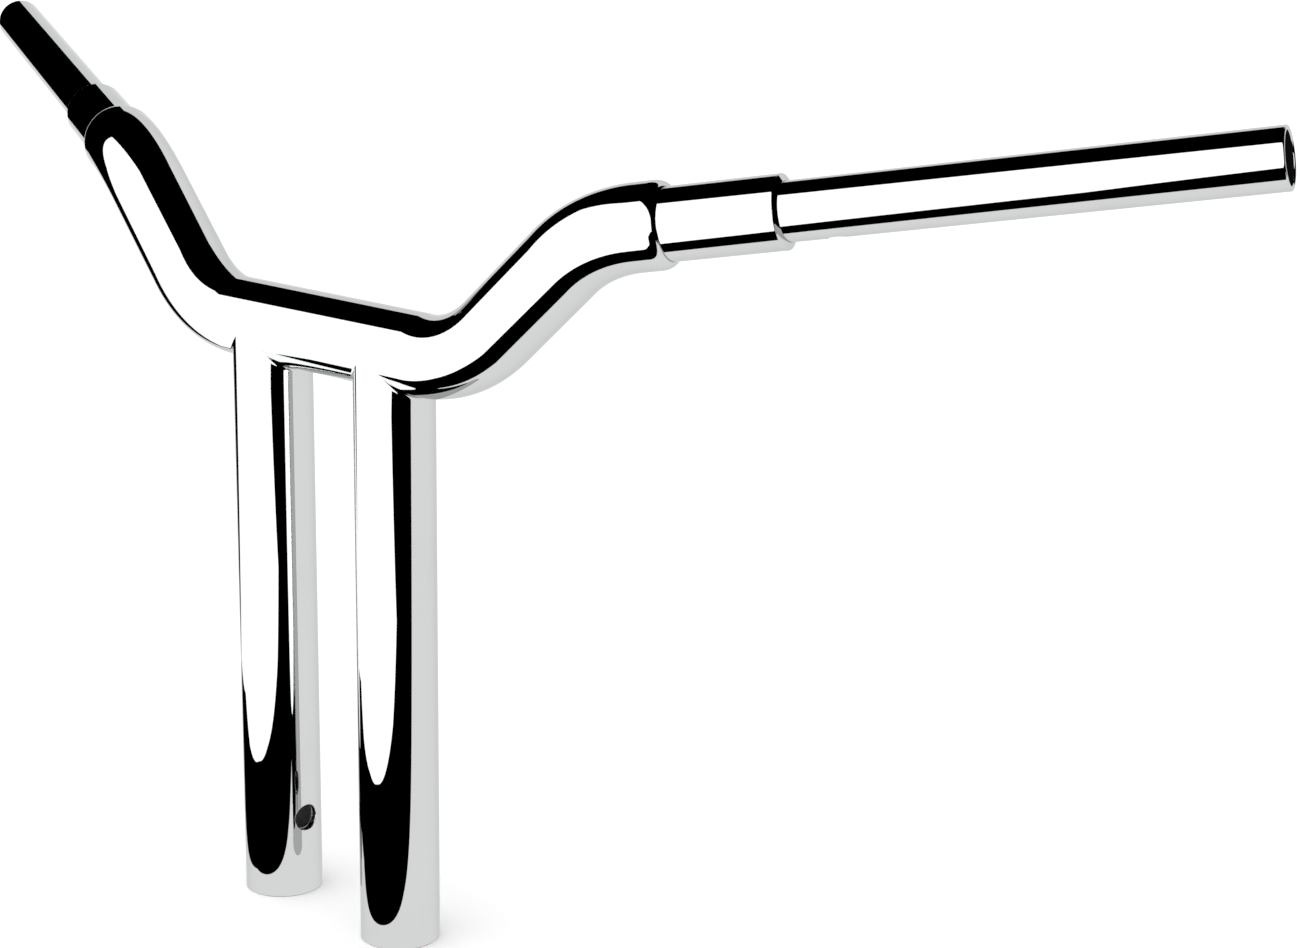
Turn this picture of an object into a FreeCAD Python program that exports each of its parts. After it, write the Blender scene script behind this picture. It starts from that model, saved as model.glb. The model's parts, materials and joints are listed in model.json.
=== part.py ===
import FreeCAD, Part
import math
import os

# One-piece T-bar handlebar for a motorcycle, welded from nested steel tubes and chromed.
# Millimetres and degrees. +Z is up along the risers, +X is the rider's left, +Y is the rider's side.
# The origin is midway between the two riser feet, on the plane where they meet the top clamp.

Vector = FreeCAD.Vector

# Tubes. Each one slides into the next, so the two larger diameters follow from the grip's.
grip_diameter = 25.4
grip_wall = 2.1
sleeve_wall = 3.05
stock_wall = 3.05
slip_fit = 0.125

# Layout of the bar
top_height = 304.8
riser_spacing = 88.9
riser_to_bend = 2.7
rise_straight = 51.1
shoulder_straight = 8.375
sleeve_show = 52.0
grip_show = 202.0
bend_radius = 66.0
rise_angle = 42.5
rise_lean = 5.0
grip_sweep = 22.0
grip_rise = 9.5

# How far each inner tube goes into the one around it
sleeve_stop = 1.2
grip_insert = 42.0

# Riser tubes
cope_relief = 0.05
cope_trim = 6.0
foot_chamfer = 0.5

# Threaded bungs in the riser feet, for half-inch coarse bolts
bung_length = 25.4
bung_fit = 0.1
bung_groove = 1.8
thread_tap_diameter = 10.72
thread_lead_in = 0.4
bung_top_chamfer = 1.5

# Wiring holes
foot_hole_diameter = 12.7
foot_hole_height = 40.0
passage_diameter = 22.0
control_hole_diameter = 9.5
control_hole_offset = 20.0

# Welds, dressed smooth. Each ring weld sits in a shallow groove turned in the inner tube.
saddle_fillet = 2.5
weld_groove_depth = 0.4
shoulder_weld_length = 6.0
step_weld_length = 1.2
grip_end_round = 0.6
sleeve_end_round = 0.3

# Sizes that follow from the ones above
grip_radius = grip_diameter / 2
sleeve_bore = grip_radius + slip_fit
sleeve_radius = sleeve_bore + sleeve_wall
stock_bore = sleeve_radius + slip_fit
stock_radius = stock_bore + stock_wall
riser_radius = stock_radius - cope_relief
riser_x = riser_spacing / 2
bar_height = top_height - stock_radius
bung_radius = stock_bore - bung_fit
sleeve_insert = shoulder_straight - sleeve_stop

up = Vector(0, 0, 1)
across = Vector(1, 0, 0)
origin = Vector(0, 0, 0)


def unit(x, y, z):
    return Vector(x, y, z).normalize()


def tilted(turn, lift):
    """Direction that leaves +X by a turn towards +Y and a lift towards +Z."""
    turn = math.radians(turn)
    lift = math.radians(lift)
    return unit(math.cos(turn) * math.cos(lift), math.sin(turn) * math.cos(lift), math.sin(lift))


def rise_direction():
    """The rise leans back out of the upright plane that holds the crossbar."""
    angle = math.radians(rise_angle)
    lean = math.radians(rise_lean)
    return unit(math.cos(angle) * math.cos(lean), math.sin(lean), math.sin(angle) * math.cos(lean))


def ring_face(centre, direction, outer, inner):
    rims = [Part.Wire(Part.makeCircle(radius, centre, direction)) for radius in (outer, inner)]
    return Part.makeFace(rims, "Part::FaceMakerBullseye")


def tube(start, direction, length, outer, inner):
    return ring_face(start, direction, outer, inner).extrude(direction * length)


def rod(start, direction, length, radius):
    return Part.makeCylinder(radius, length, start, direction)


def quarter_ellipse(first, corner, last):
    """Edge that rounds off a square corner all the way between its two neighbours."""
    centre = first + last - corner
    minor_end, major_end = sorted((first, last), key=lambda end: (end - centre).Length)
    return Part.ArcOfEllipse(Part.Ellipse(major_end, minor_end, centre), 0, math.pi / 2).toShape()


def turned(profile_points, start, direction):
    """Solid of revolution about a line, from (along, radius) corners; a triple is a corner rounded off."""
    corners = []
    edges = []
    rounded = None
    for corner in profile_points + profile_points[:1]:
        point = Vector(corner[1], 0, corner[0])
        if len(corner) == 3:
            rounded = point
            continue
        if rounded:
            edges.append(quarter_ellipse(corners[-1], rounded, point))
        elif corners:
            edges.append(Part.LineSegment(corners[-1], point).toShape())
        corners.append(point)
        rounded = None
    solid = Part.Face(Part.Wire(edges)).revolve(origin, up, 360)
    solid.Placement = FreeCAD.Placement(start, FreeCAD.Rotation(up, direction))
    return solid


def bend_tangent(before, after):
    return bend_radius * math.tan(before.getAngle(after) / 2)


# Centreline of the arm on the rider's left: crossbar, bend, rise, bend, shoulder, sleeve, grip.
rise_line = rise_direction()
grip_line = tilted(grip_sweep, grip_rise)
lower_tangent = bend_tangent(across, rise_line)
upper_tangent = bend_tangent(rise_line, grip_line)
bar_half = riser_x + riser_radius + riser_to_bend
bar_end = Vector(bar_half, 0, bar_height)
lower_corner = bar_end + across * lower_tangent
rise_start = lower_corner + rise_line * lower_tangent
rise_end = rise_start + rise_line * rise_straight
upper_corner = rise_end + rise_line * upper_tangent
shoulder_start = upper_corner + grip_line * upper_tangent
shoulder = shoulder_start + grip_line * shoulder_straight
sleeve_start = shoulder - grip_line * sleeve_insert
sleeve_end = shoulder + grip_line * (shoulder_weld_length + sleeve_show - step_weld_length)
grip_start = sleeve_end - grip_line * grip_insert
grip_shoulder = sleeve_end + grip_line * step_weld_length
grip_end = grip_shoulder + grip_line * grip_show


def mirrored(shape):
    return shape.mirror(origin, across)


def bend(start, before, after):
    """A tube bend that starts at a point of the centreline and turns from one direction to the other."""
    axis = before.cross(after).normalize()
    centre = start + axis.cross(before) * bend_radius
    section = ring_face(start, before, stock_radius, stock_bore)
    return section.revolve(centre, axis, math.degrees(before.getAngle(after)))


def crossbar_tube():
    """One length of stock with four bends, and a wiring passage into each riser."""
    arm = [
        bend(bar_end, across, rise_line),
        tube(rise_start, rise_line, rise_straight, stock_radius, stock_bore),
        bend(rise_end, rise_line, grip_line),
        tube(shoulder_start, grip_line, shoulder_straight, stock_radius, stock_bore),
    ]
    middle = tube(bar_end * -1 + up * 2 * bar_height, across, 2 * bar_half, stock_radius, stock_bore)
    bar = middle.multiFuse(arm + [mirrored(piece) for piece in arm])
    for side in (-1, 1):
        foot = Vector(side * riser_x, 0, bar_height - stock_radius)
        bar = bar.cut(rod(foot, up, stock_radius, passage_diameter / 2))
    return bar


def bar_round_riser():
    """The stretch of crossbar over the riser, as a solid rod."""
    reach = riser_radius + riser_to_bend
    return rod(Vector(riser_x - reach, 0, bar_height), across, 2 * reach, stock_radius)


def riser_rod(top):
    return rod(Vector(riser_x, 0, 0), up, top, riser_radius)


def riser_tube():
    """Coped to the crossbar, its thin ears trimmed off, with a wiring hole that faces the other riser."""
    centre = Vector(riser_x, 0, 0)
    bottom = bung_groove
    riser = turned(
        [
            (0, stock_bore + bottom),
            (0, riser_radius - foot_chamfer),
            (foot_chamfer, riser_radius),
            (bar_height - cope_trim, riser_radius),
            (bar_height - cope_trim, stock_bore),
            (bottom, stock_bore),
        ],
        centre,
        up,
    )
    hole_start = centre + up * foot_hole_height
    hole = rod(hole_start, across * -1, 2 * riser_radius, foot_hole_diameter / 2)
    return riser.cut([bar_round_riser(), hole])


def saddle_weld():
    """Fillet all round the cope, which also fills in for the trimmed ears."""
    bar = bar_round_riser()
    joint = bar.fuse(riser_rod(bar_height))
    seam = [edge for edge in joint.Edges if edge.Curve.TypeId == "Part::GeomBSplineCurve"]
    return joint.makeFillet(saddle_fillet, seam).cut([bar, riser_rod(bar_height - cope_trim)])


def riser_bung():
    """Steel bung, tapped right through from the foot."""
    tap = thread_tap_diameter / 2
    lead = tap + thread_lead_in
    return turned(
        [
            (0, lead),
            (0, bung_radius - bung_groove),
            (bung_groove, bung_radius),
            (bung_length - bung_top_chamfer, bung_radius),
            (bung_length, bung_radius - bung_top_chamfer),
            (bung_length, tap),
            (thread_lead_in, tap),
        ],
        Vector(riser_x, 0, 0),
        up,
    )


def bung_weld():
    """Fills the V groove between the bung and the riser, ground flush with the foot."""
    return turned(
        [
            (0, bung_radius - bung_groove),
            (0, stock_bore + bung_groove),
            (bung_groove, stock_bore),
            (bung_groove, bung_radius),
        ],
        Vector(riser_x, 0, 0),
        up,
    )


def shoulder_weld():
    """Long rounded bead from the end of the stock down to the sleeve."""
    root = sleeve_radius - weld_groove_depth
    return turned(
        [
            (0, root),
            (0, stock_radius),
            (shoulder_weld_length, stock_radius, "rounded"),
            (shoulder_weld_length, sleeve_radius),
            (shoulder_weld_length, root),
        ],
        shoulder,
        grip_line,
    )


def grooved(length, outer, inner, groove_start, groove_length, end_round):
    """Tube with a weld groove round it and both corners of its far end eased."""
    root = outer - weld_groove_depth
    groove_end = groove_start + groove_length
    return [
        (0, inner),
        (0, outer),
        (groove_start, outer),
        (groove_start, root),
        (groove_end, root),
        (groove_end, outer),
        (length - end_round, outer),
        (length, outer - end_round),
        (length, inner + end_round),
        (length - end_round, inner),
    ]


def sleeve_tube():
    length = (sleeve_end - sleeve_start).Length
    outline = grooved(length, sleeve_radius, sleeve_bore, sleeve_insert, shoulder_weld_length, sleeve_end_round)
    return turned(outline, sleeve_start, grip_line)


def step_weld():
    """Short cone from the eased end of the sleeve down to the grip."""
    root = grip_radius - weld_groove_depth
    return turned(
        [
            (0, root),
            (0, sleeve_radius - sleeve_end_round),
            (step_weld_length, grip_radius),
            (step_weld_length, root),
        ],
        sleeve_end,
        grip_line,
    )


def grip_tube():
    """Open at its outer end, with a wiring hole on its underside for the hand controls."""
    length = (grip_end - grip_start).Length
    bore = grip_radius - grip_wall
    outline = grooved(length, grip_radius, bore, grip_insert, step_weld_length, grip_end_round)
    grip = turned(outline, grip_start, grip_line)
    below = (grip_line * grip_line.dot(up) - up).normalize()
    hole_start = grip_shoulder + grip_line * control_hole_offset
    return grip.cut(rod(hole_start, below, 2 * grip_radius, control_hole_diameter / 2))


one_side_pieces = {
    "riser_tube": riser_tube,
    "riser_bung": riser_bung,
    "bung_weld": bung_weld,
    "saddle_weld": saddle_weld,
    "sleeve_tube": sleeve_tube,
    "shoulder_weld": shoulder_weld,
    "grip_tube": grip_tube,
    "step_weld": step_weld,
}

pieces = {"crossbar_tube": crossbar_tube()}
for name, make in one_side_pieces.items():
    left = make()
    pieces["left_" + name] = left
    pieces["right_" + name] = mirrored(left)

os.makedirs("parts", exist_ok=True)
for name, shape in pieces.items():
    shape.exportStep("parts/" + name + ".step")
    box = shape.BoundBox
    print(name, "valid" if shape.isValid() else "NOT VALID", len(shape.Solids), "solid",
          round(shape.Volume, 1), "mm3", "x", round(box.XMin, 1), round(box.XMax, 1),
          "y", round(box.YMin, 1), round(box.YMax, 1), "z", round(box.ZMin, 1), round(box.ZMax, 1))
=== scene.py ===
import json
import math

import bmesh
import bpy
from mathutils import Matrix, Vector


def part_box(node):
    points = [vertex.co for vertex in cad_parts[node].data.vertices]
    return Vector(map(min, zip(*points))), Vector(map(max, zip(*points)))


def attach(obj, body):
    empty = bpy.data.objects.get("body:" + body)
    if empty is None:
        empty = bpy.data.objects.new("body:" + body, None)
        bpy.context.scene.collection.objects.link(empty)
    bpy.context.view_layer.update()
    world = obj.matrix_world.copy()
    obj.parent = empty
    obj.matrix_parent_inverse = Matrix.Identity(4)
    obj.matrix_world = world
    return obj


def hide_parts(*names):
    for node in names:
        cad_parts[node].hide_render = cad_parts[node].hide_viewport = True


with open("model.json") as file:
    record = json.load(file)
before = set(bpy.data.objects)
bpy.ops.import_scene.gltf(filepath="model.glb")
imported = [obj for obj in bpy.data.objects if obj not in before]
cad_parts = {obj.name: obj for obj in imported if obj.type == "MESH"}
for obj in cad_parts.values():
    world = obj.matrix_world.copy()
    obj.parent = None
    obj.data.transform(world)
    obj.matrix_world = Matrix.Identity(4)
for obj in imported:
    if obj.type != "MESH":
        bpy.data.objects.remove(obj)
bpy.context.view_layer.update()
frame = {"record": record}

record = frame["record"]
mounts = {m["name"]: m for m in record["mounts"]}
scene = bpy.context.scene

up = Vector((0, 0, 1))
across = Vector((1, 0, 0))


# the bar's centreline, in metres, for the arm on the rider's left

bar = {
    "stockDiameter": 0.0381,
    "stockWall": 0.00305,
    "bendRadius": 0.066,
    "riseAngle": 42.5,
    "riseLean": 5.0,
    "riseStraight": 0.0511,
    "riserToBend": 0.0027,
    "copeRelief": 0.00005,
    "shoulderStraight": 0.008375,
    "shoulderWeld": 0.006,
    "sleeveInsert": 0.007175,
    "sleeveShow": 0.052,
    "gripShow": 0.202,
    "stepWeld": 0.0012,
    "weldGroove": 0.0004,
}


def turnOf(before, after):
    return before.angle(after)


def tangentOf(before, after):
    return bar["bendRadius"] * math.tan(turnOf(before, after) / 2)


def riseDirection():
    angle = math.radians(bar["riseAngle"])
    lean = math.radians(bar["riseLean"])
    flat = math.cos(lean)
    return Vector((math.cos(angle) * flat, math.sin(lean), math.sin(angle) * flat)).normalized()


stockRadius = bar["stockDiameter"] / 2
stockBore = stockRadius - bar["stockWall"]
riserRadius = stockRadius - bar["copeRelief"]
gripRadius = mounts["left_grip"]["dims"]["r_mm"] / 1000
gripBore = mounts["left_grip_bore"]["dims"]["r_mm"] / 1000
sleeveRadius = mounts["left_sleeve"]["dims"]["r_mm"] / 1000
riserX = mounts["riser_bolts"]["dims"]["spacing_x_mm"] / 2000
gripLine = Vector(mounts["left_grip"]["axis"]).normalized()
riseLine = riseDirection()
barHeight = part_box("crossbar_tube")[0].z + stockRadius

barEnd = Vector((riserX + riserRadius + bar["riserToBend"], 0, barHeight))
riseStart = barEnd + (across + riseLine) * tangentOf(across, riseLine)
riseEnd = riseStart + riseLine * bar["riseStraight"]
shoulderStart = riseEnd + (riseLine + gripLine) * tangentOf(riseLine, gripLine)
shoulder = shoulderStart + gripLine * bar["shoulderStraight"]
shoulderToe = shoulder + gripLine * bar["shoulderWeld"]
gripShoulder = shoulderToe + gripLine * bar["sleeveShow"]
sleeveEnd = gripShoulder - gripLine * bar["stepWeld"]
gripEnd = gripShoulder + gripLine * bar["gripShow"]
print("centreline: grip ends at", [round(c, 4) for c in gripEnd])


# materials

def newGroup(name, inputs, outputs):
    group = bpy.data.node_groups.new(name, "ShaderNodeTree")
    for label, kind, value in inputs:
        socket = group.interface.new_socket(label, in_out="INPUT", socket_type=kind)
        if value is not None:
            socket.default_value = value
    for label, kind in outputs:
        group.interface.new_socket(label, in_out="OUTPUT", socket_type=kind)
    return group, group.nodes.new("NodeGroupInput"), group.nodes.new("NodeGroupOutput")


def addNode(tree, kind, **settings):
    node = tree.nodes.new(kind)
    for key, value in settings.items():
        setattr(node, key, value)
    return node


def mathNode(tree, operation, first, second):
    node = addNode(tree, "ShaderNodeMath", operation=operation)
    for slot, value in enumerate((first, second)):
        if isinstance(value, (int, float)):
            node.inputs[slot].default_value = value
        else:
            tree.links.new(value, node.inputs[slot])
    return node.outputs[0]


polish = {
    "lineDetail": 3,
    "waveDetail": 1,
    "hazeScale": 14,
    "hazeDetail": 5,
    "hazeGrain": 0.6,
    "hazeFrom": 0.5,
    "hazeTo": 0.75,
    "lineRoughness": 0.01,
    "lineHeight": 0.02,
}


# fine polishing lines, a faint long wave left by the buffing wheel, and a little haze
def buildPolishGroup():
    group, source, sink = newGroup(
        "polishMarks",
        [
            ("Vector", "NodeSocketVector", None),
            ("Line Scale", "NodeSocketFloat", 900.0),
            ("Wave Scale", "NodeSocketFloat", 35.0),
            ("Base Roughness", "NodeSocketFloat", 0.03),
            ("Haze", "NodeSocketFloat", 0.03),
        ],
        [("Roughness", "NodeSocketFloat"), ("Height", "NodeSocketFloat"), ("Haze Mask", "NodeSocketFloat")],
    )
    link = group.links.new
    lines = addNode(group, "ShaderNodeTexNoise", noise_dimensions="3D")
    lines.inputs["Detail"].default_value = polish["lineDetail"]
    link(source.outputs["Vector"], lines.inputs["Vector"])
    link(source.outputs["Line Scale"], lines.inputs["Scale"])
    wave = addNode(group, "ShaderNodeTexNoise", noise_dimensions="3D")
    wave.inputs["Detail"].default_value = polish["waveDetail"]
    link(source.outputs["Vector"], wave.inputs["Vector"])
    link(source.outputs["Wave Scale"], wave.inputs["Scale"])
    haze = addNode(group, "ShaderNodeTexNoise", noise_dimensions="3D")
    haze.inputs["Scale"].default_value = polish["hazeScale"]
    haze.inputs["Detail"].default_value = polish["hazeDetail"]
    haze.inputs["Roughness"].default_value = polish["hazeGrain"]
    link(source.outputs["Vector"], haze.inputs["Vector"])
    mask = addNode(group, "ShaderNodeMapRange", interpolation_type="SMOOTHSTEP")
    mask.inputs["From Min"].default_value = polish["hazeFrom"]
    mask.inputs["From Max"].default_value = polish["hazeTo"]
    link(haze.outputs["Fac"], mask.inputs["Value"])
    hazeAmount = mathNode(group, "MULTIPLY", mask.outputs[0], source.outputs["Haze"])
    lineAmount = mathNode(group, "MULTIPLY", lines.outputs["Fac"], polish["lineRoughness"])
    rough = mathNode(group, "ADD", source.outputs["Base Roughness"], hazeAmount)
    link(mathNode(group, "ADD", rough, lineAmount), sink.inputs["Roughness"])
    fine = mathNode(group, "MULTIPLY", lines.outputs["Fac"], polish["lineHeight"])
    link(mathNode(group, "ADD", fine, wave.outputs["Fac"]), sink.inputs["Height"])
    link(mask.outputs[0], sink.inputs["Haze Mask"])
    return group


def newMaterial(name):
    material = bpy.data.materials.new(name)
    material.use_nodes = True
    tree = material.node_tree
    return material, tree, tree.nodes["Principled BSDF"]


chrome = {
    "tint": (0.549, 0.556, 0.554, 1),
    "hazeTint": (0.52, 0.53, 0.53, 1),
    "edgeTint": (0.72, 0.73, 0.73, 1),
    "roughness": 0.008,
    "haze": 0.02,
    "bump": 0.00001,
}


def chromeMaterial(marksGroup):
    material, tree, shader = newMaterial("chromePlate")
    link = tree.links.new
    coords = addNode(tree, "ShaderNodeTexCoord")
    marks = addNode(tree, "ShaderNodeGroup", node_tree=marksGroup)
    link(coords.outputs["Object"], marks.inputs["Vector"])
    marks.inputs["Base Roughness"].default_value = chrome["roughness"]
    marks.inputs["Haze"].default_value = chrome["haze"]
    tint = addNode(tree, "ShaderNodeMix", data_type="RGBA")
    tint.inputs["A"].default_value = chrome["tint"]
    tint.inputs["B"].default_value = chrome["hazeTint"]
    link(marks.outputs["Haze Mask"], tint.inputs["Factor"])
    link(tint.outputs["Result"], shader.inputs["Base Color"])
    link(marks.outputs["Roughness"], shader.inputs["Roughness"])
    bump = addNode(tree, "ShaderNodeBump")
    bump.inputs["Distance"].default_value = chrome["bump"]
    link(marks.outputs["Height"], bump.inputs["Height"])
    link(bump.outputs["Normal"], shader.inputs["Normal"])
    shader.inputs["Metallic"].default_value = 1
    shader.inputs["Specular Tint"].default_value = chrome["edgeTint"]
    return material


# machining marks and stains, and the colour that the two of them give
def buildGrainGroup():
    group, source, sink = newGroup(
        "metalGrain",
        [
            ("Marks Vector", "NodeSocketVector", None),
            ("Marks Scale", "NodeSocketFloat", 160.0),
            ("Marks Detail", "NodeSocketFloat", 6.0),
            ("Stain Vector", "NodeSocketVector", None),
            ("Stain Scale", "NodeSocketFloat", 90.0),
            ("Stain Detail", "NodeSocketFloat", 4.0),
            ("Stain Share", "NodeSocketFloat", 0.5),
            ("Dark", "NodeSocketColor", None),
            ("Light", "NodeSocketColor", None),
        ],
        [("Color", "NodeSocketColor"), ("Marks", "NodeSocketFloat"), ("Stain", "NodeSocketFloat")],
    )
    link = group.links.new
    grains = []
    for label in ("Marks", "Stain"):
        noise = addNode(group, "ShaderNodeTexNoise")
        for part in ("Vector", "Scale", "Detail"):
            link(source.outputs[label + " " + part], noise.inputs[part])
        link(noise.outputs["Fac"], sink.inputs[label])
        grains.append(noise.outputs["Fac"])
    blend = addNode(group, "ShaderNodeMix", data_type="FLOAT")
    link(source.outputs["Stain Share"], blend.inputs["Factor"])
    link(grains[0], blend.inputs["A"])
    link(grains[1], blend.inputs["B"])
    tint = addNode(group, "ShaderNodeMix", data_type="RGBA")
    link(blend.outputs["Result"], tint.inputs["Factor"])
    link(source.outputs["Dark"], tint.inputs["A"])
    link(source.outputs["Light"], tint.inputs["B"])
    link(tint.outputs["Result"], sink.inputs["Color"])
    return group


# places the grain in a material and links its colour and its bump
def addGrain(tree, shader, look, makeVector=None):
    link = tree.links.new
    coords = addNode(tree, "ShaderNodeTexCoord").outputs["Object"]
    grain = addNode(tree, "ShaderNodeGroup", node_tree=metalGrain)
    link(makeVector(tree, coords) if makeVector else coords, grain.inputs["Marks Vector"])
    link(coords, grain.inputs["Stain Vector"])
    for label, key in (("Marks Scale", "scale"), ("Marks Detail", "detail"), ("Stain Share", "stainShare"),
                       ("Dark", "dark"), ("Light", "light")):
        grain.inputs[label].default_value = look[key]
    link(grain.outputs["Color"], shader.inputs["Base Color"])
    bump = addNode(tree, "ShaderNodeBump")
    bump.inputs["Distance"].default_value = look["bump"]
    link(grain.outputs["Marks"], bump.inputs["Height"])
    link(bump.outputs["Normal"], shader.inputs["Normal"])
    return grain


# bare steel inside the tubes; the grips' bore is instead painted near-black, a painted shade for the dark
# inside the tube
def boreMaterial(name, look):
    material, tree, shader = newMaterial(name)
    addGrain(tree, shader, look)
    shader.inputs["Roughness"].default_value = look["roughness"]
    shader.inputs["Specular IOR Level"].default_value = look["shine"]
    return material


# distance from the riser's axis, so that the marks run in rings
def ringVector(tree, coords):
    parts = addNode(tree, "ShaderNodeSeparateXYZ")
    tree.links.new(coords, parts.inputs[0])
    x = mathNode(tree, "SUBTRACT", mathNode(tree, "ABSOLUTE", parts.outputs["X"], 0), riserX)
    y = parts.outputs["Y"]
    squares = mathNode(tree, "ADD", mathNode(tree, "POWER", x, 2), mathNode(tree, "POWER", y, 2))
    joined = addNode(tree, "ShaderNodeCombineXYZ")
    tree.links.new(mathNode(tree, "SQRT", squares, 0), joined.inputs["X"])
    return joined.outputs[0]


scratchStretch = (12, 0.6, 1)   # marks come out long along Y and short along X


def scratchVector(tree, coords):
    stretch = addNode(tree, "ShaderNodeVectorMath", operation="MULTIPLY")
    tree.links.new(coords, stretch.inputs[0])
    stretch.inputs[1].default_value = scratchStretch
    return stretch.outputs[0]


def steelMaterial(name, makeVector, look):
    material, tree, shader = newMaterial(name)
    grain = addGrain(tree, shader, look, makeVector)
    stained = mathNode(tree, "MULTIPLY", grain.outputs["Stain"], look["stainRoughness"])
    tree.links.new(mathNode(tree, "ADD", stained, look["roughness"]), shader.inputs["Roughness"])
    shader.inputs["Metallic"].default_value = 1
    return material


riserBoreLook = {
    "dark": (0.38, 0.37, 0.36, 1),
    "light": (0.55, 0.54, 0.53, 1),
    "scale": 160,
    "detail": 6,
    "stainShare": 0,
    "bump": 0.0001,
    "roughness": 0.75,
    "shine": 0.1,
}
# the grip's bore is painted near-black: painted shade standing in for the darkness inside the tube, not the
# colour of its steel
gripBoreShadeLook = {**riserBoreLook, "dark": (0.002, 0.002, 0.002, 1), "light": (0.006, 0.006, 0.006, 1)}
bungLook = {
    "dark": (0.28, 0.28, 0.29, 1),
    "light": (0.55, 0.55, 0.56, 1),
    "scale": 1800,
    "detail": 5,
    "stainShare": 0.5,
    "bump": 0.00003,
    "roughness": 0.25,
    "stainRoughness": 0.2,
}
weldLook = {
    "dark": (0.30, 0.29, 0.28, 1),
    "light": (0.58, 0.57, 0.56, 1),
    "scale": 300,
    "detail": 5,
    "stainShare": 0.5,
    "bump": 0.00005,
    "roughness": 0.32,
    "stainRoughness": 0.2,
}
polishMarks = buildPolishGroup()
chromePlate = chromeMaterial(polishMarks)
metalGrain = buildGrainGroup()
riserBore = boreMaterial("riserBore", riserBoreLook)
# near-black painted shade for the inside of the grips
gripBorePaintedShade = boreMaterial("gripBorePaintedShade", gripBoreShadeLook)
bungSteel = steelMaterial("bungSteel", ringVector, bungLook)
footWeld = steelMaterial("footWeld", scratchVector, weldLook)
print("materials made")


# tools for round pieces

fineSides = 192
sharpAngle = math.radians(28)
boreFaces = 1   # material index of the faces inside a tube
lipSteps = 4   # rows round a quarter-round edge
easeSteps = 6
easeGuard = 0.00025   # keeps a flat strip beside each rounded corner, so that the faces shade flat


# closed outline of (along, radius) corners, each one rounded where a third number gives its radius
def easedOutline(corners):
    points = []
    for i, corner in enumerate(corners):
        here = Vector(corner[:2])
        if len(corner) < 3:
            points.append(here)
            continue
        size = corner[2]
        before = (Vector(corners[i - 1][:2]) - here).normalized()
        after = (Vector(corners[(i + 1) % len(corners)][:2]) - here).normalized()
        half = before.angle(after) / 2
        reach = size / math.tan(half)
        centre = here + (before + after).normalized() * (size / math.sin(half))
        first = here + before * reach
        last = here + after * reach
        points.append(first + before * easeGuard)
        spoke = first - centre
        sweep = spoke.angle_signed(last - centre)
        for step in range(easeSteps + 1):
            points.append(centre + Matrix.Rotation(-sweep * step / easeSteps, 2) @ spoke)
        points.append(last + after * easeGuard)
    return points


def standAt(start, direction):
    return Matrix.Translation(start) @ up.rotation_difference(direction).to_matrix().to_4x4()


# solid of revolution, alone in its bm: the outline is spun about +Z, then stood at start along direction
def spinOutline(bm, points, start, direction, sides=fineSides):
    verts = [bm.verts.new((p[1], 0, p[0])) for p in points]
    edges = [bm.edges.new(pair) for pair in zip(verts, verts[1:] + verts[:1])]
    bmesh.ops.spin(bm, geom=verts + edges, cent=(0, 0, 0), axis=up, dvec=(0, 0, 0), angle=2 * math.pi,
                   steps=sides, use_merge=True, use_normal_flip=False, use_duplicate=False)
    bmesh.ops.transform(bm, matrix=standAt(start, direction), verts=bm.verts[:])


def circleEdges(bm, centre, direction, radius):
    verts = bmesh.ops.create_circle(bm, cap_ends=False, segments=fineSides, radius=radius,
                                    matrix=standAt(centre, direction))["verts"]
    return list({edge for vert in verts for edge in vert.link_edges})


def pushEdges(bm, edges, vector):
    made = bmesh.ops.extrude_edge_only(bm, edges=edges)["geom"]
    bmesh.ops.translate(bm, vec=vector, verts=[item for item in made if isinstance(item, bmesh.types.BMVert)])
    return [item for item in made if isinstance(item, bmesh.types.BMEdge)]


def bendEdges(bm, edges, point, before, after, steps):
    axis = before.cross(after).normalized()
    centre = point + axis.cross(before) * bar["bendRadius"]
    made = bmesh.ops.spin(bm, geom=edges, cent=centre, axis=axis, dvec=(0, 0, 0), angle=turnOf(before, after),
                          steps=steps, use_merge=False, use_normal_flip=False,
                          use_duplicate=False)["geom_last"]
    return [item for item in made if isinstance(item, bmesh.types.BMEdge)]


def objectFrom(bm, name, materials=()):
    mesh = bpy.data.meshes.new(name)
    bm.to_mesh(mesh)
    bm.free()
    for material in materials:
        mesh.materials.append(material)
    made = bpy.data.objects.new(name, mesh)
    scene.collection.objects.link(made)
    return made


def addPiece(bm, name, materials, node):
    piece = objectFrom(bm, name, materials)
    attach(piece, "root")
    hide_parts(node)
    return piece


def finishPiece(bm, name, materials, node):
    bmesh.ops.remove_doubles(bm, verts=bm.verts[:], dist=1e-7)
    bmesh.ops.recalc_face_normals(bm, faces=bm.faces[:])
    for face in bm.faces:
        face.smooth = True
    for edge in bm.edges:
        edge.smooth = edge.calc_face_angle(0) < sharpAngle
    return addPiece(bm, name, materials, node)


# the same piece on the rider's right
def mirrorPiece(piece, name, node):
    bm = bmesh.new()
    bm.from_mesh(piece.data)
    bmesh.ops.scale(bm, vec=(-1, 1, 1), verts=bm.verts[:])
    bmesh.ops.reverse_faces(bm, faces=bm.faces[:])
    addPiece(bm, name, piece.data.materials[:], node)


def bothSides(build, label, node, materials):
    bm = bmesh.new()
    build(bm)
    left = finishPiece(bm, "left" + label, materials, "left_" + node)
    mirrorPiece(left, "right" + label, "right_" + node)


# crossbar

crossbar = {"outerSteps": 90, "innerSteps": 12}


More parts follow.
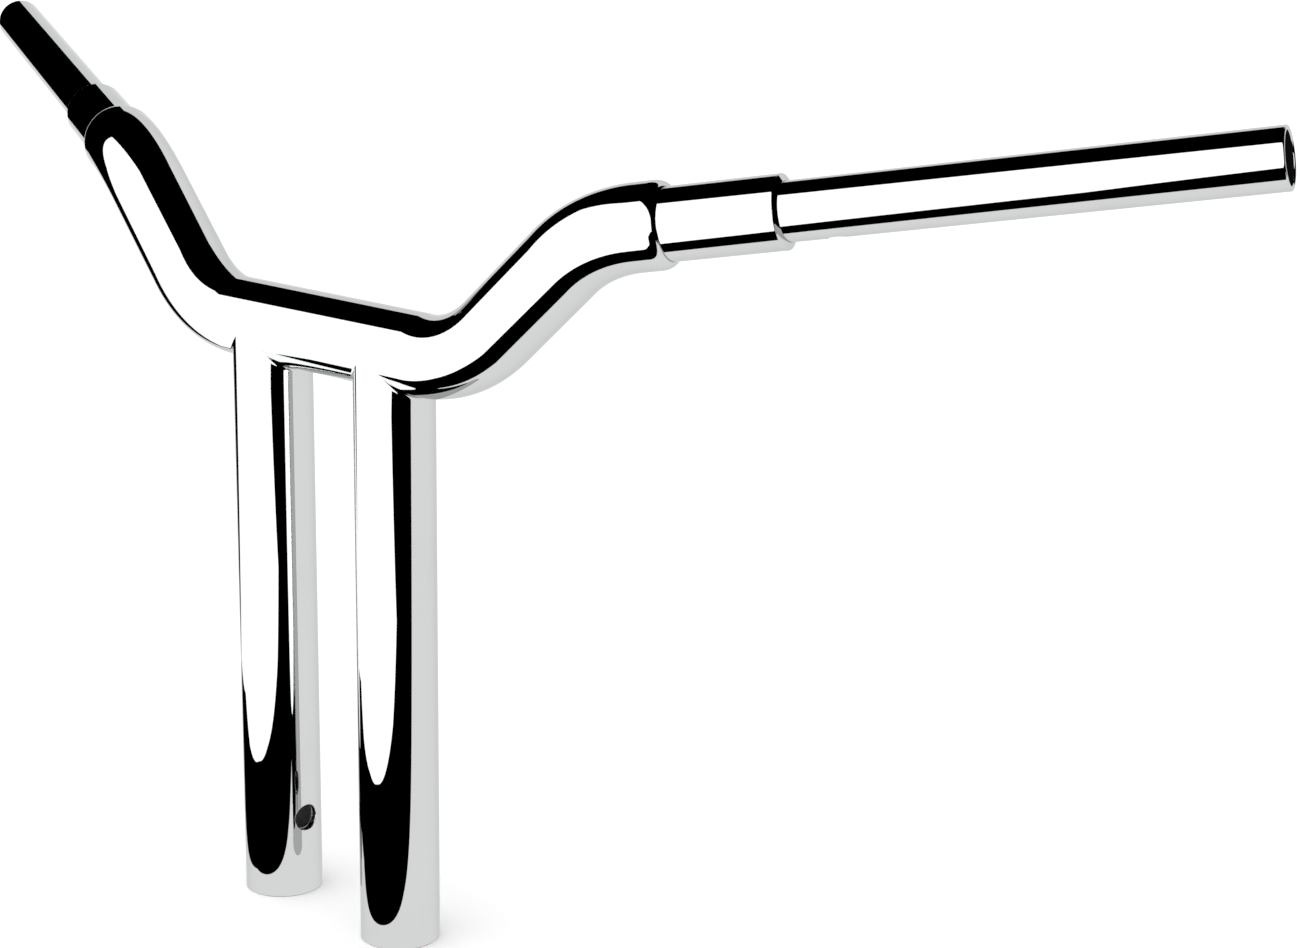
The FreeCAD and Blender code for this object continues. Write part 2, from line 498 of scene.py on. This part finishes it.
# skin of one half of the bar, from its middle out to the end of the stock
def armWall(bm, radius, side, bendSteps):
    def flip(vector):
        return Vector((vector.x * side, vector.y, vector.z))
    edges = circleEdges(bm, Vector((0, 0, barHeight)), across * side, radius)
    edges = pushEdges(bm, edges, across * side * barEnd.x)
    edges = bendEdges(bm, edges, flip(barEnd), across * side, flip(riseLine), bendSteps)
    edges = pushEdges(bm, edges, flip(riseLine) * bar["riseStraight"])
    edges = bendEdges(bm, edges, flip(riseEnd), flip(riseLine), flip(gripLine), bendSteps)
    return pushEdges(bm, edges, flip(gripLine) * bar["shoulderStraight"])


def buildCrossbar():
    bm = bmesh.new()
    for side in (1, -1):
        outerEnd = armWall(bm, stockRadius, side, crossbar["outerSteps"])
        innerEnd = armWall(bm, stockBore, side, crossbar["innerSteps"])
        bmesh.ops.bridge_loops(bm, edges=outerEnd + innerEnd)
    finishPiece(bm, "crossbarTube", [chromePlate], "crossbar_tube")


buildCrossbar()
print("crossbar made")


# holes through a tube's wall, drilled from -X while the tube stands on Z

drilled = {"ease": 0.0005, "innerCells": 8, "outerCells": 16}
cellTurn = 2 * math.pi / fineSides


def wallPoint(angle, radius, height):
    return Vector((radius * math.cos(angle), radius * math.sin(angle), height))


def angleAround(co):
    return math.atan2(co.y, co.x)


def extrudeTo(bm, edges, place):
    made = bmesh.ops.extrude_edge_only(bm, edges=edges)["geom"]
    for item in made:
        if isinstance(item, bmesh.types.BMVert):
            item.co = place(item.co)
    return [item for item in made if isinstance(item, bmesh.types.BMEdge)]


# heights of the rings round a hole, spaced as the wall's own columns are when seen along X
def windowHeights(radius, height):
    span = drilled["outerCells"] + 1
    return [height + radius * math.sin(cellTurn * k) for k in range(-span, span + 1)]


# draws the square window of the wall's grid in to a round hole, and opens it
def openWindow(bm, wallRadius, rimRadius, height):
    inner = wallRadius * math.sin(cellTurn * drilled["innerCells"])
    outer = wallRadius * math.sin(cellTurn * drilled["outerCells"])
    slack = wallRadius * cellTurn / 4   # well under one cell
    doomed = []
    for vert in bm.verts:
        y = vert.co.y
        z = vert.co.z - height
        size = max(abs(y), abs(z))
        if vert.co.x > 0 or size > outer + slack or abs(math.hypot(vert.co.x, y) - wallRadius) > 1e-6:
            continue
        if size < inner - slack:
            doomed.append(vert)
            continue
        share = min(1, max(0, (size - inner) / (outer - inner)))
        length = math.hypot(y, z)
        reach = rimRadius * (1 - share) + length * share
        y, z = y / length * reach, z / length * reach
        vert.co = Vector((-math.sqrt(wallRadius ** 2 - y ** 2), y, height + z))
    rim = {edge for vert in doomed for face in vert.link_faces for edge in face.edges}
    bmesh.ops.delete(bm, geom=doomed, context="VERTS")
    return [edge for edge in rim if edge.is_valid]


def drillHole(bm, outerRadius, innerRadius, radius, height):
    ease = drilled["ease"]
    innerRim = openWindow(bm, innerRadius, radius, height)
    outerRim = openWindow(bm, outerRadius, radius + ease, height)
    for step in range(1, lipSteps + 1):
        turn = math.pi / 2 * step / lipSteps
        rim = radius + ease - ease * math.sin(turn)
        depth = ease - ease * math.cos(turn)

        def lipPoint(co):
            y, z = co.y, co.z - height
            length = math.hypot(y, z)
            y, z = y / length * rim, z / length * rim
            return Vector((depth - math.sqrt(outerRadius ** 2 - y ** 2), y, height + z))
        outerRim = extrudeTo(bm, outerRim, lipPoint)
    bmesh.ops.bridge_loops(bm, edges=outerRim + innerRim)


# risers

riser = {
    "footEase": 0.0005,
    "footGroove": 0.0018,
    "flatAboveFoot": 0.0003,
    "saddleFillet": 0.0025,
    "saddleSteps": 14,
    "ringsUnderSaddle": (0.003, 0.0025),
}
footHole = mounts["left_foot_wire_hole"]


# where a ball rolling in the corner between riser and crossbar has its centre
def saddleBall(angle):
    reach = riserRadius + riser["saddleFillet"]
    side = reach * math.sin(angle)
    drop = math.sqrt((stockRadius + riser["saddleFillet"]) ** 2 - side ** 2)
    return Vector((reach * math.cos(angle), side, barHeight - drop))


# where the saddle weld starts on the riser's wall
def saddleFoot(co):
    angle = angleAround(co)
    return wallPoint(angle, riserRadius, saddleBall(angle).z)


# the inner wall's cope to the crossbar
def copePoint(co):
    angle = angleAround(co)
    drop = math.sqrt(stockRadius ** 2 - (stockBore * math.sin(angle)) ** 2)
    return wallPoint(angle, stockBore, barHeight - drop)


def buildRiser(bm):
    ease = riser["footEase"]
    groove = riser["footGroove"]
    holeHeight = footHole["pos_m"][2]
    footRim = circleEdges(bm, Vector((0, 0, 0)), up, riserRadius - ease)
    edges = footRim
    for step in range(1, lipSteps + 1):
        turn = math.pi / 2 * step / lipSteps
        radius = riserRadius - ease + ease * math.sin(turn)
        height = ease - ease * math.cos(turn)
        edges = extrudeTo(bm, edges, lambda co: wallPoint(angleAround(co), radius, height))
    # two level rings close together keep the long wall's shading true up to the curved top
    topRings = [saddleBall(0).z - drop for drop in riser["ringsUnderSaddle"]]
    rings = [ease + riser["flatAboveFoot"]] + windowHeights(riserRadius, holeHeight) + topRings
    for height in rings:
        edges = extrudeTo(bm, edges, lambda co: wallPoint(angleAround(co), riserRadius, height))
    edges = extrudeTo(bm, edges, saddleFoot)
    edges = extrudeTo(bm, edges, copePoint)
    chromed = set(bm.faces)
    for height in windowHeights(stockBore, holeHeight)[::-1] + [groove]:
        edges = extrudeTo(bm, edges, lambda co: wallPoint(angleAround(co), stockBore, height))
    for face in bm.faces:
        if face not in chromed:
            face.material_index = boreFaces
    edges = extrudeTo(bm, edges, lambda co: wallPoint(angleAround(co), stockBore + groove, 0))
    bmesh.ops.bridge_loops(bm, edges=edges + footRim)
    drillHole(bm, riserRadius, stockBore, footHole["dims"]["r_mm"] / 1000, holeHeight)
    bmesh.ops.translate(bm, vec=across * riserX, verts=bm.verts[:])


# the fillet's skin, swept from the riser's wall up to the crossbar
def buildSaddleWeld(bm):
    rho = riser["saddleFillet"]
    steps = riser["saddleSteps"]
    edges = circleEdges(bm, Vector((0, 0, barHeight)), up, riserRadius)
    angles = {vert: angleAround(vert.co) for edge in edges for vert in edge.verts}
    for vert, angle in angles.items():
        vert.co.z = saddleBall(angle).z
    for step in range(1, steps + 1):
        made = bmesh.ops.extrude_edge_only(bm, edges=edges)["geom"]
        nextAngles = {}
        for vert in made:
            if not isinstance(vert, bmesh.types.BMVert):
                continue
            angle = next(angles[v] for edge in vert.link_edges for v in edge.verts if v in angles)
            ball = saddleBall(angle)
            first = (wallPoint(angle, riserRadius, ball.z) - ball).normalized()
            last = (Vector((ball.x, 0, barHeight)) - ball).normalized()
            spread = max(first.angle(last), 1e-6)
            share = step / steps
            mix = first * math.sin((1 - share) * spread) + last * math.sin(share * spread)
            vert.co = ball + mix.normalized() * rho
            nextAngles[vert] = angle
        angles = nextAngles
        edges = [item for item in made if isinstance(item, bmesh.types.BMEdge)]
    bmesh.ops.translate(bm, vec=across * riserX, verts=bm.verts[:])


bothSides(buildRiser, "RiserTube", "riser_tube", [chromePlate, riserBore])
bothSides(buildSaddleWeld, "SaddleWeld", "saddle_weld", [chromePlate])
print("risers made")


# bungs in the riser feet

bung = {
    "length": 0.0254,
    "fit": 0.0001,
    "topEase": 0.0015,
    "leadIn": 0.0004,
    "mouthEase": 0.0002,
    "sides": 96,
    "majorRadius": 0.00635,
    "pitch": 0.001954,
    "crestShare": 1 / 16,
    "rootShare": 7 / 16,
    "ridgeSink": 0.0003,
    "threadSteps": 48,
}
bungRadius = stockBore - bung["fit"]
tapRadius = mounts["left_riser_thread"]["dims"]["r_mm"] / 1000


def buildBung(bm):
    groove = riser["footGroove"]
    outline = easedOutline([
        (0, bung["majorRadius"] + bung["leadIn"], bung["mouthEase"]),
        (0, bungRadius - groove),
        (groove, bungRadius),
        (bung["length"] - bung["topEase"], bungRadius),
        (bung["length"], bungRadius - bung["topEase"]),
        (bung["length"], bung["majorRadius"]),
        (bung["leadIn"] * 2, bung["majorRadius"]),
    ])
    spinOutline(bm, outline, Vector((riserX, 0, 0)), up, sides=bung["sides"])
    # the thread is a ridge wound up the bore
    pitch = bung["pitch"]
    deep = bung["majorRadius"] + bung["ridgeSink"]
    crest = pitch * bung["crestShare"]
    root = pitch * bung["rootShare"]
    ridge = [(tapRadius, -crest), (deep, -root), (deep, root), (tapRadius, crest)]
    verts = [bm.verts.new((riserX + radius, 0, pitch / 2 + along)) for radius, along in ridge]
    start = bm.faces.new(verts)
    turns = int((bung["length"] - pitch) / pitch)
    steps = turns * bung["threadSteps"]
    bmesh.ops.spin(bm, geom=[start], cent=(riserX, 0, 0), axis=up, dvec=up * pitch * turns / steps,
                   angle=2 * math.pi * turns, steps=steps, use_merge=False, use_normal_flip=False,
                   use_duplicate=False)


def buildBungWeld(bm):
    groove = riser["footGroove"]
    outline = [(0, bungRadius - groove), (0, stockBore + groove), (groove, stockBore), (groove, bungRadius)]
    spinOutline(bm, outline, Vector((riserX, 0, 0)), up)


bothSides(buildBung, "RiserBung", "riser_bung", [bungSteel])
bothSides(buildBungWeld, "BungWeld", "bung_weld", [footWeld])
print("bungs made")


# sleeves, grips and their welds

arm = {
    "gripEase": 0.0006,
    "sleeveEase": 0.0003,
    "gripInsert": 0.042,
    "sleeveBore": 0.012825,
    "weldSteps": 20,
    "skinDepth": 0.0002,
}
wireHole = mounts["left_control_wire_hole"]


def buildShoulderWeld(bm):
    root = sleeveRadius - bar["weldGroove"]
    step = stockRadius - sleeveRadius
    length = bar["shoulderWeld"]
    turns = [math.pi / 2 * i / arm["weldSteps"] for i in range(arm["weldSteps"] + 1)]
    skin = [(length * math.sin(turn), sleeveRadius + step * math.cos(turn)) for turn in turns]
    spinOutline(bm, [(0, root), *skin, (length, root)], shoulder, gripLine)


# outerRows and innerRows are extra rings on the two walls
def groovedOutline(length, outer, inner, grooveStart, grooveLength, ease, outerRows=(), innerRows=()):
    root = outer - bar["weldGroove"]
    grooveEnd = grooveStart + grooveLength
    corners = [(0, inner), (0, outer)]
    corners += [(grooveStart, outer), (grooveStart, root), (grooveEnd, root), (grooveEnd, outer)]
    corners += [(along, outer) for along in outerRows] + [(length, outer, ease), (length, inner, ease)]
    return easedOutline(corners + [(along, inner) for along in reversed(innerRows)])


def buildSleeve(bm):
    start = shoulder - gripLine * bar["sleeveInsert"]
    length = (sleeveEnd - start).length
    outline = groovedOutline(length, sleeveRadius, arm["sleeveBore"], bar["sleeveInsert"],
                             bar["shoulderWeld"], arm["sleeveEase"])
    spinOutline(bm, outline, start, gripLine)


# a short cone down from the sleeve's eased end
def buildStepWeld(bm):
    root = gripRadius - bar["weldGroove"]
    length = bar["stepWeld"]
    outline = [(0, root), (0, sleeveRadius - arm["sleeveEase"]), (length, gripRadius), (length, root)]
    spinOutline(bm, outline, sleeveEnd, gripLine)


# made standing on Z with its wiring hole towards -X, then laid along the arm with the hole underneath
def buildGrip(bm):
    start = sleeveEnd - gripLine * arm["gripInsert"]
    length = (gripEnd - start).length
    holeAlong = (Vector(wireHole["pos_m"]) - start).dot(gripLine)
    rows = [windowHeights(radius, holeAlong) for radius in (gripRadius, gripBore)]
    outline = groovedOutline(length, gripRadius, gripBore, arm["gripInsert"],
                             bar["stepWeld"], arm["gripEase"], *rows)
    spinOutline(bm, outline, Vector((0, 0, 0)), up)
    for face in bm.faces:
        middle = face.calc_center_median()
        inBore = math.hypot(middle.x, middle.y) < gripBore + arm["skinDepth"]
        if inBore and middle.z < length - arm["gripEase"]:
            face.material_index = boreFaces
    drillHole(bm, gripRadius, gripBore, wireHole["dims"]["r_mm"] / 1000, holeAlong)
    above = -Vector(wireHole["axis"]).normalized()
    turn = Matrix((above, gripLine.cross(above), gripLine)).transposed().to_4x4()
    bmesh.ops.transform(bm, matrix=Matrix.Translation(start) @ turn, verts=bm.verts[:])


bothSides(buildShoulderWeld, "ShoulderWeld", "shoulder_weld", [chromePlate])
bothSides(buildSleeve, "SleeveTube", "sleeve_tube", [chromePlate])
bothSides(buildStepWeld, "StepWeld", "step_weld", [chromePlate])
bothSides(buildGrip, "GripTube", "grip_tube", [chromePlate, gripBorePaintedShade])
print("arms made")


# floor, studio and camera

# rims are corners on the floor in metres; walls are corners in multiples of how far away they stand
studio = {
    "floorColour": (0.93, 0.93, 0.93, 1),
    "airStrength": 1.25,
    "white": 2.0,
    "whiteGain": 1.82,
    "grey": 1.2,
    "reach": 40.0,
    "wallAway": 8.0,
    "floorGap": 0.0002,
    "floorHalf": 12,
    "whiteWall": ((-2.9, -0.03), (-2.79, 2.43), (-1.4, 2.02), (-0.67, 1.8), (-0.3, 1.68), (-0.07, 1.58),
                  (1.88, 1.144), (1.88, -0.03)),
    "greyWall": ((-3.6, -0.03), (-3.6, 0.7), (-1.9, 0.86), (-0.85, 0.88), (-0.1, 1.08), (0.04, 1.12),
                 (0.04, -0.03)),
    "whiteRim": ((-0.42, 0.06), (-0.343, -0.11), (-0.224, -0.14), (-0.107, -0.2), (0, -0.2326),
                 (0.2394, -0.2775), (0.458, -0.3645), (0.8, -0.895), (2.2, -1.9)),
    "whiteRimTurns": (-71.0, 62.0),
    "greyRim": ((-0.0616, -0.0446), (0.12, -0.0446), (0.43, -0.013), (0.69, 0.02), (1.28, 0.1), (1.45, 0.13)),
    "greyRimLeft": (-0.1655, 0.0101),
    "greyRimTurn": -104.0,
}


# a glowing card that is only seen mirrored in the chrome; gain makes up for what each further bounce loses
def glowCard(name, corners, strength, gain=1):
    bm = bmesh.new()
    bm.faces.new([bm.verts.new(corner) for corner in corners])
    bmesh.ops.triangulate(bm, faces=bm.faces[:])
    material = bpy.data.materials.new(name)
    material.use_nodes = True
    tree = material.node_tree
    tree.nodes.clear()
    glow = addNode(tree, "ShaderNodeEmission")
    path = addNode(tree, "ShaderNodeLightPath")
    bounces = mathNode(tree, "SUBTRACT", path.outputs["Ray Depth"], 1)
    gained = mathNode(tree, "POWER", gain, bounces)
    tree.links.new(mathNode(tree, "MULTIPLY", gained, strength), glow.inputs["Strength"])
    sink = addNode(tree, "ShaderNodeOutputMaterial")
    tree.links.new(glow.outputs[0], sink.inputs["Surface"])
    card = objectFrom(bm, name, [material])
    card.visible_camera = False
    card.visible_diffuse = False
    card.visible_shadow = False
    card.visible_transmission = False


def wallCard(name, side, shape, strength, gain=1):
    away = studio["wallAway"]
    glowCard(name, [(x * away, side * away, z * away) for x, z in shape], strength, gain)


# the far point that a rim runs out to, at a turn from -Y towards +X
def rimEnd(corner, turn):
    turn = math.radians(turn)
    return (corner[0] + studio["reach"] * math.sin(turn), corner[1] - studio["reach"] * math.cos(turn))


def floorCards():
    reach = studio["reach"]
    low = studio["floorGap"]
    white, grey = studio["whiteRim"], studio["greyRim"]
    left, right = (rimEnd(white[i], studio["whiteRimTurns"][i]) for i in (0, -1))
    rim = [left, *white, right, (right[0], -reach), (-reach, -reach)]
    glowCard("whiteFloorCard", [(x, y, low) for x, y in rim], studio["white"], studio["whiteGain"])
    left = rimEnd(studio["greyRimLeft"], studio["greyRimTurn"])
    rim = [*grey, (grey[-1][0], reach), (left[0], reach), left, studio["greyRimLeft"]]
    glowCard("greyFloorCard", [(x, y, low) for x, y in rim], studio["grey"])


def makeFloor():
    bm = bmesh.new()
    bmesh.ops.create_grid(bm, x_segments=1, y_segments=1, size=studio["floorHalf"])
    material, tree, shader = newMaterial("paleFloor")
    shader.inputs["Base Color"].default_value = studio["floorColour"]
    shader.inputs["Roughness"].default_value = 0.9
    shader.inputs["Specular IOR Level"].default_value = 0
    floor = objectFrom(bm, "floor", [material])
    floor.visible_glossy = False


def makeWorld():
    world = bpy.data.worlds.new("studioAir")
    scene.world = world
    world.use_nodes = True
    air = world.node_tree.nodes["Background"]
    air.inputs["Color"].default_value = (1, 1, 1, 1)
    air.inputs["Strength"].default_value = studio["airStrength"]
    world.cycles_visibility.glossy = False


makeFloor()
makeWorld()
floorCards()
wallCard("whiteWallCard", -1, studio["whiteWall"], studio["white"], studio["whiteGain"])
wallCard("greyWallCard", 1, studio["greyWall"], studio["grey"])

cameraView = {
    "azimuth": 43.986,
    "elevation": 13.82,
    "roll": 0.71,
    "target": (0.20696, 0, 0.25637),
    "distance": 1.10339,
    "lens": 73.563,
}


def makeCamera():
    azimuth, elevation, roll = (math.radians(cameraView[k]) for k in ("azimuth", "elevation", "roll"))
    level = math.cos(elevation)
    back = Vector((math.sin(azimuth) * level, -math.cos(azimuth) * level, math.sin(elevation)))
    right = Vector((math.cos(azimuth), math.sin(azimuth), 0))
    upward = back.cross(right)
    rightward = right * math.cos(roll) + upward * math.sin(roll)
    upward = back.cross(rightward)
    data = bpy.data.cameras.new("camera")
    data.lens = cameraView["lens"]
    data.sensor_width = 36
    camera = bpy.data.objects.new("camera", data)
    scene.collection.objects.link(camera)
    turn = Matrix((rightward, upward, back)).transposed().to_4x4()
    place = Vector(cameraView["target"]) + back * cameraView["distance"]
    camera.matrix_world = Matrix.Translation(place) @ turn
    scene.camera = camera


makeCamera()
scene.view_settings.view_transform = "Standard"
print("studio and camera made")
